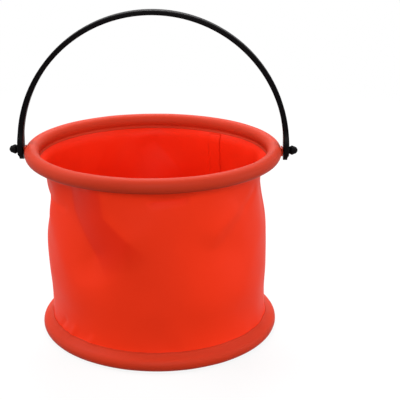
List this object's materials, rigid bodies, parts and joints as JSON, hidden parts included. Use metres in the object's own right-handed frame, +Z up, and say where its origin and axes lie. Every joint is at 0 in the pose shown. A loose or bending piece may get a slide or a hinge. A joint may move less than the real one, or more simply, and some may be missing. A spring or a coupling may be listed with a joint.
{
  "type": "collapsible camp bucket",
  "caption": "Soft-walled camp bucket with hooped hems at rim and base that folds flat, and a swinging plastic bail on barbed studs.",
  "frame": {"origin": "on the ground under the centre of the rim", "axes": "+Z up, +X along the bail's pivot axis towards the right-hand stud, seen from the front at -Y"},
  "size_m": [0.2254, 0.1996, 0.2551],
  "materials": {
    "wall_cloth": "orange-red coated cloth, smooth, with a soft sheen",
    "hem_cloth": "orange-red coated cloth stretched over the hoops, matte",
    "hoop_plastic": "plain natural plastic tube",
    "bail_plastic": "black moulded plastic with a low sheen"
  },
  "bodies": {
    "base": {"base_hoop_tube": "hoop_plastic", "base_tube_joiner": "hoop_plastic", "base_hem_sleeve": "hem_cloth", "base_panel": "wall_cloth", "wall_panel": "wall_cloth", "wall_seam_tape": "wall_cloth"},
    "rim": {"rim_hoop_tube": "hoop_plastic", "rim_tube_joiner": "hoop_plastic", "rim_hem_sleeve": "hem_cloth", "left_ear_patch": "hem_cloth", "right_ear_patch": "hem_cloth", "left_stud": "bail_plastic", "right_stud": "bail_plastic"},
    "bail": {"bail_handle": "bail_plastic"}
  },
  "joints": [
    {"name": "rim_collapse", "type": "slide", "parent": "base", "child": "rim", "axis": [0, 0, 1], "range_m": [-0.125, 0], "deforming": ["wall_panel", "wall_seam_tape"]},
    {"name": "bail_swing", "type": "hinge", "parent": "rim", "child": "bail", "pos_m": [0, 0, 0.1461], "axis": [1, 0, 0], "range_deg": [-98, 98]}
  ]
}
